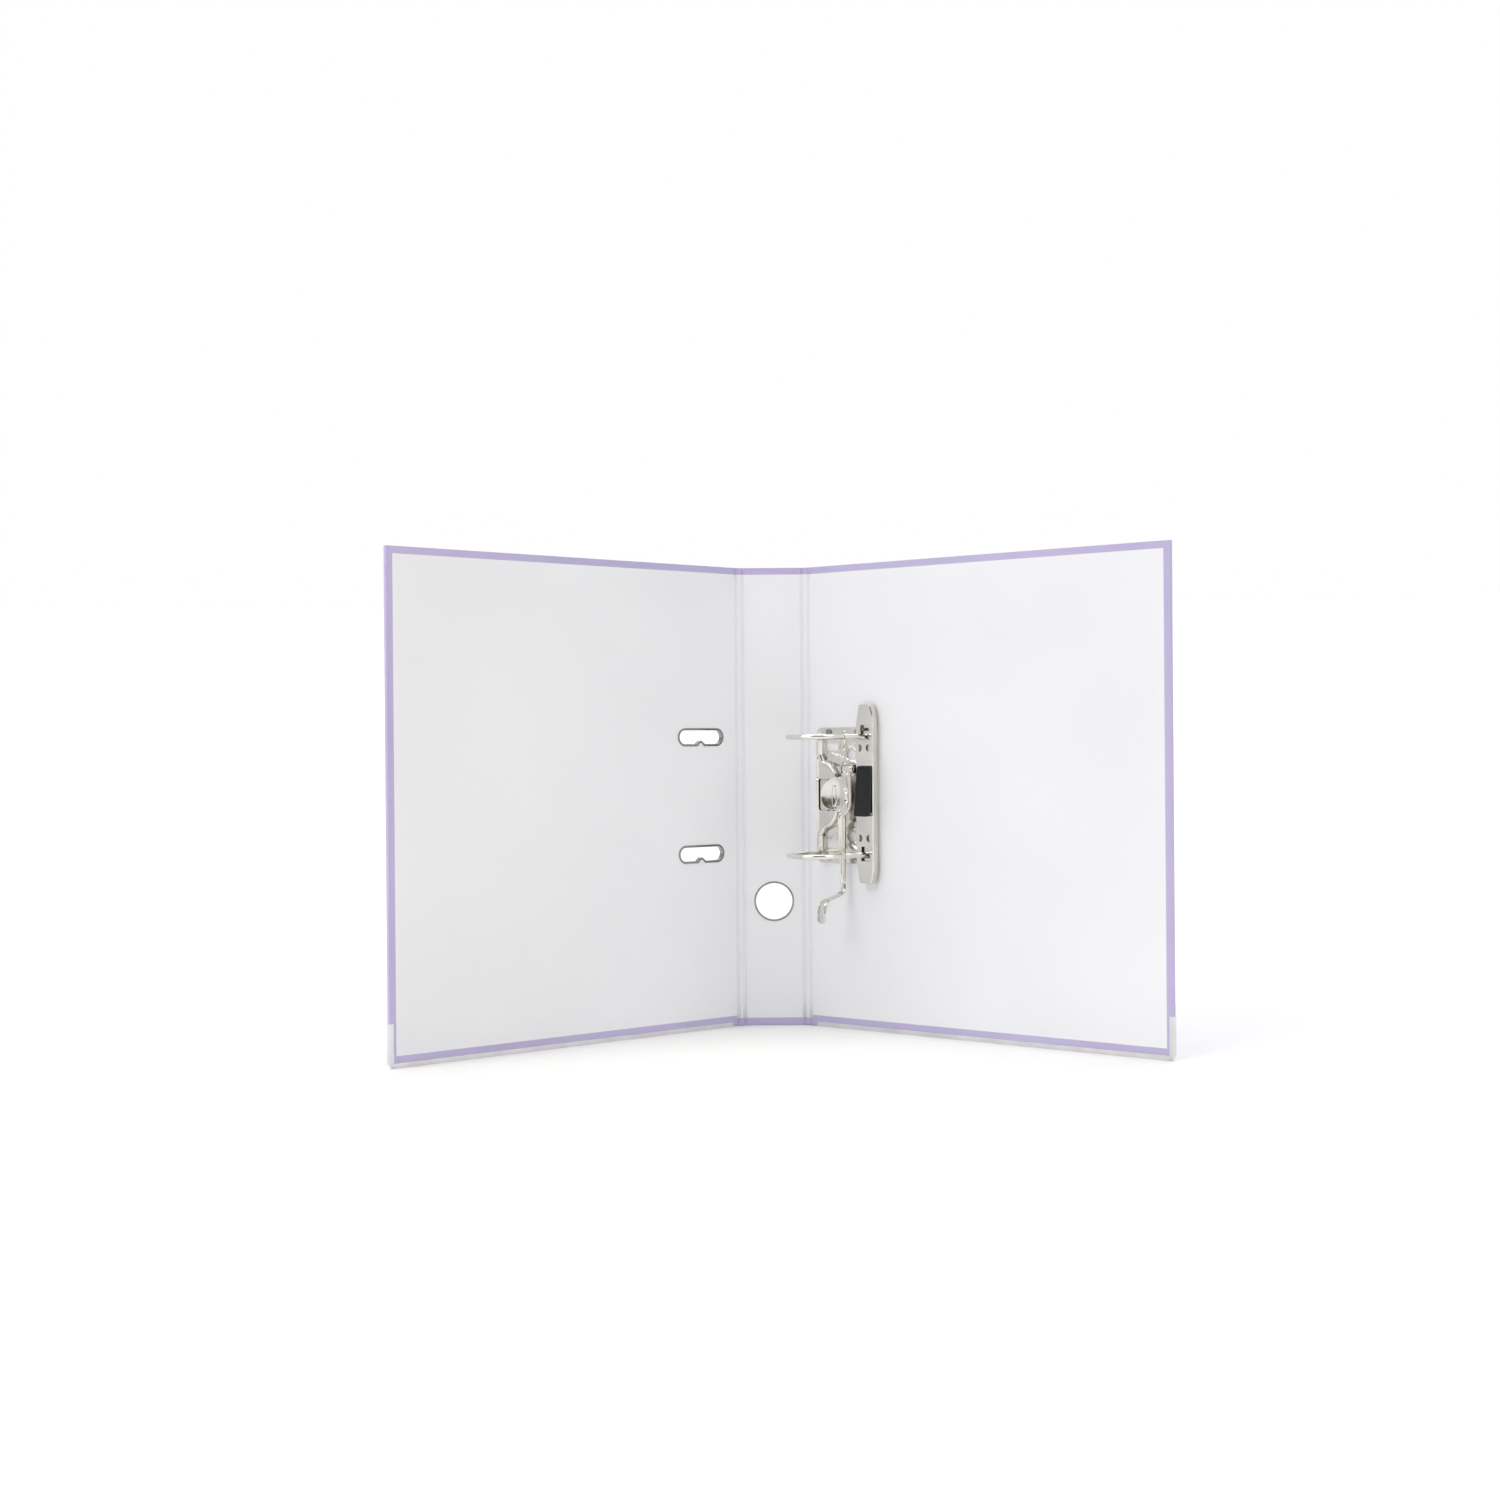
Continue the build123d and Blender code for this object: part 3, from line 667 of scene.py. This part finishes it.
def relief(u, z):
    """pressed shapes of the plate, millimetres above its flat face; the same above and below the middle"""
    zz = z if z > MZ else 2 * MZ - z
    h = 0.0
    d, t = seg_dist(u, zz, (15.5, 187.0), (40.0, 180.0))
    h = max(h, 0.95 * sstep(3.9, 2.4, d))                            # broad diagonal rib
    d, t = seg_dist(u, zz, (33.5, 194.6), (42.0, 198.6))
    h = max(h, 0.85 * sstep(2.3, 1.0, d))                            # rib towards the post
    d = math.hypot(u - 36.1, zz - 188.1)
    h = max(h, 0.45 * sstep(5.4, 4.6, d))                            # collar of the round hole
    d = math.hypot(u - 28.6, zz - 192.0)
    h += 0.75 * math.exp(-(d / 1.3) ** 2)                            # dimple
    d, t = seg_dist(u, zz, (29.0, 196.5), (29.8, 203.0))
    h = max(h, 0.55 * sstep(1.7, 0.7, d))
    for zt in (201.4,):
        d, t = seg_dist(u, zz, (15.5, zt), (26.0, zt))
        h = max(h, 0.5 * sstep(1.5, 0.6, d))                         # bead above the window
    if abs(z - 160.4) < 11.0 and u < 24.5:
        tt = sstep(24.0, 11.0, u)
        h += 0.5 * tt * sstep(11.0, 9.6, abs(z - 160.4))             # sprung tongue
    h += 0.55 * sstep(8.2, 6.4, u) * (1 if zz < 186 else 0.0)        # turned-up edge
    # flat under the crank wire, the lugs and the bar
    k = 1.0
    for a, b in zip(CRANK, CRANK[1:]):
        d, t = seg_dist(u, zz, a, b)
        k = min(k, sstep(1.9, 3.3, d))
    if 6.5 < u < 15.5 and zz > 185.5:
        k = min(k, 0.0 if zz < 199.5 else 1.0)
    k = min(k, sstep(43.8, 42.2, u))
    if 30.8 < u < 44.5 and 173.5 < zz < 182.0:
        k = min(k, 0.55)
    return max(h, 0.0) * k


def pressed_plate():
    src = NODES["base_plate"]
    bm = bmesh.new()
    bm.from_mesh(src.data)
    bmesh.ops.remove_doubles(bm, verts=bm.verts, dist=2e-6)
    for i in range(46):
        u = 6.9 + i * 0.85
        bmesh.ops.bisect_plane(bm, geom=bm.verts[:] + bm.edges[:] + bm.faces[:], plane_co=M(u, 0, 0), plane_no=UB)
    for i in range(109):
        z = 114.1 + i * 0.85
        bmesh.ops.bisect_plane(bm, geom=bm.verts[:] + bm.edges[:] + bm.faces[:], plane_co=M(0, 0, z), plane_no=Z)
    for v in bm.verts:
        u, h, z = uhz(v.co)
        if h < 2.0:
            v.co += HB * (relief(u, z) * MM)
    bmesh.ops.recalc_face_normals(bm, faces=bm.faces)
    for f in bm.faces:
        f.smooth = True
    for e in bm.edges:
        e.smooth = e.calc_face_angle(0.0) < math.radians(38)
    me = bpy.data.meshes.new("base_plate_pressed")
    bm.to_mesh(me)
    bm.free()
    me.materials.append(NICKEL_SHEET)
    o = bpy.data.objects.new("base_plate_pressed", me)
    bpy.context.scene.collection.objects.link(o)
    b = o.modifiers.new("bevel", "BEVEL")
    b.width = 0.00018
    b.segments = 2
    b.limit_method = "ANGLE"
    b.angle_limit = math.radians(50)
    return o


def slit_painted_shade():
    """painted shade: dark blocks set under the slits round the sprung tongue, standing in for the shadowed gap beneath
    the plate
    """
    m, nt, bs, tc = new_mat("slit_shade_black")
    v = mapping(nt, tc, (1, 1, 1))
    n = noise(nt, v, 900.0, 3.0)
    # near-black colour of the blocks: painted shade in the slits
    nt.links.new(ramp(nt, n, [(0.3, srgb(16, 16, 16)), (0.7, srgb(30, 29, 27))]), bs.inputs["Base Color"])
    nt.links.new(maprange(nt, n, 0.45, 0.65), bs.inputs["Roughness"])
    bs.inputs["Metallic"].default_value = 0.4
    bump(nt, bs, n, 0.2, 0.00005)
    objs = []
    for u0, u1, z0, z1 in ((7.9, 9.75, 149.4, 171.4), (15.2, 21.6, 169.8, 171.2), (15.2, 21.6, 148.8, 150.2)):
        co = []
        for h in (0.12, 0.9):
            ins = 0.0 if h < 0.5 else 0.12
            for u, z in ((u0 + ins, z0 + ins), (u1 - ins, z0 + ins), (u1 - ins, z1 - ins), (u0 + ins, z1 - ins)):
                co.append(M(u, h, z))
        f = [(0, 1, 2, 3), (7, 6, 5, 4), (0, 4, 5, 1), (1, 5, 6, 2), (2, 6, 7, 3), (3, 7, 4, 0)]
        o = mesh_object("slit_shade_box", co, f, m, smooth=False)
        objs.append(o)
    return join(objs, "tongue_slit_shade")


# painted shade under the tongue slits, carried by the back cover
slit_shade_box = slit_painted_shade()
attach(slit_shade_box, "back_cover")
plate = pressed_plate()
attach(plate, "back_cover")
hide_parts("base_plate")


# ------------------------------------------------------------------ release grip
def grip_piece():
    u0, u1, z0, z1 = 46.9, 58.4, 146.0, 180.2
    top = lambda z: 14.1 + (10.1 - 14.1) * (z - z0) / (z1 - z0)

    def bot(z):
        return 10.9 + (7.5 - 10.9) * min((z - z0) / (176.0 - z0), 1.0)

    def loop(inset, rad, n=7):
        pts = []
        a, b, c, d = u0 + inset, u1 - inset, z0 + inset, z1 - inset
        r = max(rad - inset, 0.35)
        for cx, cz, s0 in ((b - r, d - r, 0), (a + r, d - r, 90), (a + r, c + r, 180), (b - r, c + r, 270)):
            for k in range(n + 1):
                an = math.radians(s0 + 90 * k / n)
                pts.append((cx + r * math.cos(an), cz + r * math.sin(an)))
        return pts
    rings = []
    R = 1.5
    for inset, fn in ((0.25, lambda z: bot(z)), (0.0, lambda z: bot(z) + 0.25), (0.0, lambda z: top(z) - 1.0), (0.07, lambda z: top(z) - 0.6),
                      (0.25, lambda z: top(z) - 0.28), (0.55, lambda z: top(z) - 0.07), (0.9, lambda z: top(z)), (1.35, lambda z: top(z)),
                      (1.5, lambda z: top(z) - 0.08), (1.62, lambda z: top(z) - 0.3), (1.85, lambda z: top(z) - 0.36)):
        rings.append([(u, fn(z), z) for u, z in loop(inset, R)])
    verts, faces = [], []
    idx = []
    for ring in rings:
        row = []
        for u, h, z in ring:
            row.append(len(verts))
            verts.append(M(u, h, z))
        idx.append(row)
    n = len(idx[0])
    for a, b in zip(idx, idx[1:]):
        for i in range(n):
            j = (i + 1) % n
            faces.append((a[i], a[j], b[j], b[i]))
    # slightly crowned middle of the face
    prev = idx[-1]
    for q in (0.75, 0.5, 0.25):
        row = []
        for u, h, z in rings[-1]:
            uu = (u0 + u1) / 2 + (u - (u0 + u1) / 2) * q
            zz = (z0 + z1) / 2 + (z - (z0 + z1) / 2) * q
            row.append(len(verts))
            verts.append(M(uu, top(zz) - 0.36 + 0.12 * (1 - q * q), zz))
        for i in range(n):
            j = (i + 1) % n
            faces.append((prev[i], prev[j], row[j], row[i]))
        prev = row
    verts.append(M((u0 + u1) / 2, top((z0 + z1) / 2) - 0.24, (z0 + z1) / 2))
    for i in range(n):
        faces.append((prev[i], prev[(i + 1) % n], len(verts) - 1))
    faces.append(tuple(idx[0][::-1]))
    pad = mesh_object("grip_pad", verts, faces, PLASTIC)
    # stem that goes down into the bar to its pin
    sk = [(148.4, 6.4), (148.4, 11.2), (178.4, 9.0), (178.4, 3.6), (174.5, 2.4), (169.0, 2.9)]
    verts, faces = [], []
    for u in (48.1, 57.0):
        for z, h in sk:
            verts.append(M(u, h, z))
    n = len(sk)
    for i in range(n):
        j = (i + 1) % n
        faces.append((i, j, n + j, n + i))
    faces.append(tuple(range(n)))
    faces.append(tuple(range(n, 2 * n))[::-1])
    stem = mesh_object("grip_stem", verts, faces, PLASTIC, smooth=False)
    b = stem.modifiers.new("bevel", "BEVEL")
    b.width = 0.0004
    b.segments = 2
    bpy.context.view_layer.objects.active = stem
    bpy.ops.object.modifier_apply(modifier="bevel")
    return pad, stem


pad, stem = grip_piece()
grip = join([pad, stem], "release_grip_moulded")
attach(grip, "release_grip")
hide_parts("compressor_grip")

# ------------------------------------------------------------------ finger ring
SP0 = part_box("spine_lining")
YIN = SP0[0].y                # inner face of the spine
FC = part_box("finger_ring")
FX = (FC[0].x + FC[1].x) / 2
FZ = (FC[0].z + FC[1].z) / 2
RI = 12.6


def spine_place(s, x, y):
    return Vector((FX + x * MM, YIN + s * MM, FZ + y * MM))


ring = lathe("finger_ring_rolled", [(12.6, 2.45), (12.6, 0.3), (12.62, 0.05), (12.75, -0.22), (12.98, -0.38), (13.25, -0.43), (13.55, -0.38),
                                    (13.8, -0.2), (13.88, 0.0), (13.6, 0.02), (13.1, 0.02), (13.1, 2.45)], spine_place, NICKEL_TRIM_PAINTED_DARK, 96)
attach(ring, "spine")
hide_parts("finger_ring")
wash = lathe("finger_ring_back", [(12.62, 2.48), (12.62, 2.7), (12.8, 2.88), (13.25, 2.94), (13.65, 2.88), (13.88, 2.7), (13.9, 2.5), (13.1, 2.48)],
             spine_place, NICKEL_TRIM_PAINTED_DARK, 96)
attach(wash, "spine")
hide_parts("finger_ring_washer")


# ------------------------------------------------------------------ creases: the wrap and lining run on across each one
def strip_point(side, x_edge_stage, h, z):
    return None


def crease_strip(name, A, DA, NA, Bp, DB, NB, z0, z1, mat, lap, lift, dip, inner):
    """a thin sheet across one crease. A and Bp are the crease edges of the two panels on the face,
    DA and DB point along the face away from the crease, NA and NB out of the face"""
    rows = []
    # cross-section
    thick = 0.00009
    sec = []
    for k in range(5):
        t = 1 - k / 4
        off = lift * (1 if t < 0.99 else 0.4)
        sec.append((A + DA * (lap * t), NA * off, NA * (off - min(thick, 0.6 * off))))
    mids = 9
    for k in range(1, mids):
        t = k / mids
        p = A.lerp(Bp, t)
        nn = (NA + NB).normalized()
        off = lift - dip * math.sin(math.pi * t)
        sec.append((p, nn * off, nn * (off - thick)))
    for k in range(5):
        t = k / 4
        off = lift * (1 if t < 0.99 else 0.4)
        sec.append((Bp + DB * (lap * t), NB * off, NB * (off - min(thick, 0.6 * off))))
    n = len(sec)
    verts, faces = [], []
    nz = 24
    for j in range(nz + 1):
        z = z0 + (z1 - z0) * j / nz
        for p, o, u in sec:
            verts.append(Vector((p.x, p.y, 0)) + o + Z * z)
        for p, o, u in reversed(sec):
            verts.append(Vector((p.x, p.y, 0)) + u + Z * z)
    m = 2 * n
    for j in range(nz):
        for i in range(m):
            i2 = (i + 1) % m
            faces.append((j * m + i, j * m + i2, (j + 1) * m + i2, (j + 1) * m + i))
    faces.append(tuple(range(m)))
    faces.append(tuple(nz * m + i for i in range(m))[::-1])
    o = mesh_object(name, verts, faces, mat)
    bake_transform(o)
    return o


def crease_set(side, pre):
    piv1 = Vector(JOINTS[pre + "_strip_crease"]["pos_m"])
    piv2 = Vector(JOINTS[pre + "_cover_fold"]["pos_m"])
    piv1.z = piv2.z = 0
    half = math.radians(40.42 / 2)
    # directions along the outer face of spine, strip and cover, pointing away from the spine
    d0 = Vector((side, 0, 0))
    d1 = Vector((side * math.cos(half), -math.sin(half), 0))
    d2 = Vector((side * math.cos(2 * half), -math.sin(2 * half), 0))
    n0 = Vector((0, -1, 0))
    n1 = Vector((-side * math.sin(half), -math.cos(half), 0))
    n2 = Vector((-side * math.sin(2 * half), -math.cos(2 * half), 0))
    w = T_ALL * math.tan(math.radians(22.9)) + 0.00003
    zb, zt = 0.00035 + 0.0, 0.00035 + 0.318
    for tag, piv, da, db, na, nb, ba, bb in (("a", piv1, d0, d1, n0, n1, "spine", pre + "_strip"),
                                            ("b", piv2, d1, d2, n1, n2, pre + "_strip", pre + "_cover")):
        A = piv + na * T_ALL - da * w
        Bp = piv + nb * T_ALL + db * w
        # crease strips in the darker lining: painted crease shade
        crease_strip("%s_crease_lining_%s" % (pre, tag), A, -da, na, Bp, db, nb, zb + 0.0049, zt - 0.0046,
                     CREASE_PAINTED_SHADE, 0.0009, 0.00016, 0.00045, True)
        # lavender turn-in at the top and bottom of the crease
        crease_strip("%s_crease_turnin_top_%s" % (pre, tag), A, -da, na, Bp, db, nb, zt - 0.0046, zt,
                     WRAP, 0.0009, 0.00014, 0.00060, True)
        crease_strip("%s_crease_turnin_low_%s" % (pre, tag), A, -da, na, Bp, db, nb, zb, zb + 0.0049,
                     WRAP, 0.0009, 0.00014, 0.00060, True)
        # outside
        A2 = piv - da * 0.0006
        B2 = piv + db * 0.0006
        crease_strip("%s_crease_outer_%s" % (pre, tag), A2, -da, -na, B2, db, -nb, zb, zt,
                     WRAP, 0.0009, 0.00012, 0.0, False)


crease_set(1, "back")
crease_set(-1, "front")


# ------------------------------------------------------------------ stage, light, camera
def stage():
    """one large pale floor, rising gently far away so that it meets the background without a line"""
    me = bpy.data.meshes.new("floor")
    bm = bmesh.new()
    rings = [(0.0, 0.0), (2.5, 0.0), (4.0, 0.0), (6.0, 0.05), (9.0, 0.3), (14.0, 1.2)]
    n = 64
    rows = []
    for r, z in rings[1:]:
        rows.append([bm.verts.new((r * math.cos(2 * math.pi * k / n), r * math.sin(2 * math.pi * k / n), z)) for k in range(n)])
    c = bm.verts.new((0, 0, 0))
    for k in range(n):
        bm.faces.new((c, rows[0][k], rows[0][(k + 1) % n]))
        for a, b in zip(rows, rows[1:]):
            bm.faces.new((a[k], b[k], b[(k + 1) % n], a[(k + 1) % n]))
    bm.to_mesh(me)
    bm.free()
    for p in me.polygons:
        p.use_smooth = True
    o = bpy.data.objects.new("floor", me)
    bpy.context.scene.collection.objects.link(o)
    m = bpy.data.materials.new("floor_pale")
    m.use_nodes = True
    b = m.node_tree.nodes["Principled BSDF"]
    b.inputs["Base Color"].default_value = (0.90, 0.90, 0.90, 1)
    b.inputs["Roughness"].default_value = 0.85
    b.inputs["Specular IOR Level"].default_value = 0.1
    me.materials.append(m)


stage()


def area(name, loc, target, size, power, color=(1, 1, 1)):
    l = bpy.data.lights.new(name, "AREA")
    l.shape = "RECTANGLE"
    l.size, l.size_y = size
    l.energy = power
    l.color = color
    o = bpy.data.objects.new(name, l)
    o.location = loc
    d = Vector(target) - Vector(loc)
    o.rotation_euler = d.to_track_quat("-Z", "Y").to_euler()
    bpy.context.scene.collection.objects.link(o)
    return o


def sun(name, az, el, energy, angle, color=(1, 1, 1)):
    """soft far light; az is degrees right of the camera's side, el degrees above the floor"""
    l = bpy.data.lights.new(name, "SUN")
    l.energy = energy
    l.angle = math.radians(angle)
    l.color = color
    o = bpy.data.objects.new(name, l)
    a, e = math.radians(az), math.radians(el)
    d = Vector((math.sin(a) * math.cos(e), -math.cos(a) * math.cos(e), math.sin(e)))
    o.rotation_euler = (-d).to_track_quat("-Z", "Y").to_euler()
    bpy.context.scene.collection.objects.link(o)


sun("key", -52, 40, 1.02, 38, (1.0, 0.995, 0.985))
sun("fill", 46, 40, 0.72, 40, (1.0, 0.99, 0.975))
sun("behind", 170, 50, 0.6, 60)
sun("overhead", 0, 86, 1.0, 60)
area("left_box", (-1.5, -0.35, 0.75), (0.10, 0.0, 0.16), (0.5, 1.1), 2.2)

# room: pale behind and above, a darker warm grey where a photographer stands, so that bright metal has something to reflect
w = bpy.data.worlds.new("world")
bpy.context.scene.world = w
w.use_nodes = True
wn = w.node_tree
bg = wn.nodes["Background"]
wtc = wn.nodes.new("ShaderNodeTexCoord")
sep = wn.nodes.new("ShaderNodeSeparateXYZ")
wn.links.new(wtc.outputs["Generated"], sep.inputs["Vector"])
r1 = wn.nodes.new("ShaderNodeValToRGB")
cr = r1.color_ramp
cr.elements[0].position, cr.elements[0].color = 0.0, (0.10, 0.09, 0.065, 1)
cr.elements[1].position, cr.elements[1].color = 1.0, (0.80, 0.81, 0.83, 1)
e = cr.elements.new(0.42)
e.color = (0.16, 0.15, 0.12, 1)
e = cr.elements.new(0.62)
e.color = (0.72, 0.72, 0.72, 1)
mr = wn.nodes.new("ShaderNodeMapRange")
mr.inputs["From Min"].default_value = -1.0
mr.inputs["From Max"].default_value = 1.0
wn.links.new(sep.outputs["Y"], mr.inputs["Value"])
wn.links.new(mr.outputs["Result"], r1.inputs["Fac"])
lp = wn.nodes.new("ShaderNodeLightPath")
mxw = wn.nodes.new("ShaderNodeMixRGB")
wn.links.new(lp.outputs["Is Camera Ray"], mxw.inputs["Fac"])
wn.links.new(r1.outputs["Color"], mxw.inputs["Color1"])
mxw.inputs["Color2"].default_value = (1.0, 1.0, 1.0, 1)
wn.links.new(mxw.outputs["Color"], bg.inputs["Color"])
bg.inputs["Strength"].default_value = 1.0

cam_d = bpy.data.cameras.new("camera")
cam = bpy.data.objects.new("camera", cam_d)
bpy.context.scene.collection.objects.link(cam)
bpy.context.scene.camera = cam
cx, cy, cz = -35.799, -1463.10 + 90.539, 194.478 + 0.35
yaw, pitch, roll, fpx = 0.013495, -0.002074, -0.008012, 2102.21
cyw, syw, cp, sp, cr, sr = math.cos(yaw), math.sin(yaw), math.cos(pitch), math.sin(pitch), math.cos(roll), math.sin(roll)
fw = Vector((syw * cp, cyw * cp, sp))
rt = Vector((cyw, -syw, 0))
up = rt.cross(fw)
r2 = rt * cr + up * sr
u2 = up * cr - rt * sr
mat = Matrix((( r2.x, u2.x, -fw.x, cx * MM), (r2.y, u2.y, -fw.y, cy * MM), (r2.z, u2.z, -fw.z, cz * MM), (0, 0, 0, 1)))
cam.matrix_world = mat
cam_d.sensor_width = 36.0
cam_d.lens = fpx / 1500.0 * 36.0
cam_d.clip_start = 0.01
cam_d.clip_end = 50

sc = bpy.context.scene
sc.view_settings.view_transform = "Standard"
sc.view_settings.look = "None"
sc.view_settings.exposure = 0.0

bpy.context.view_layer.update()
import json
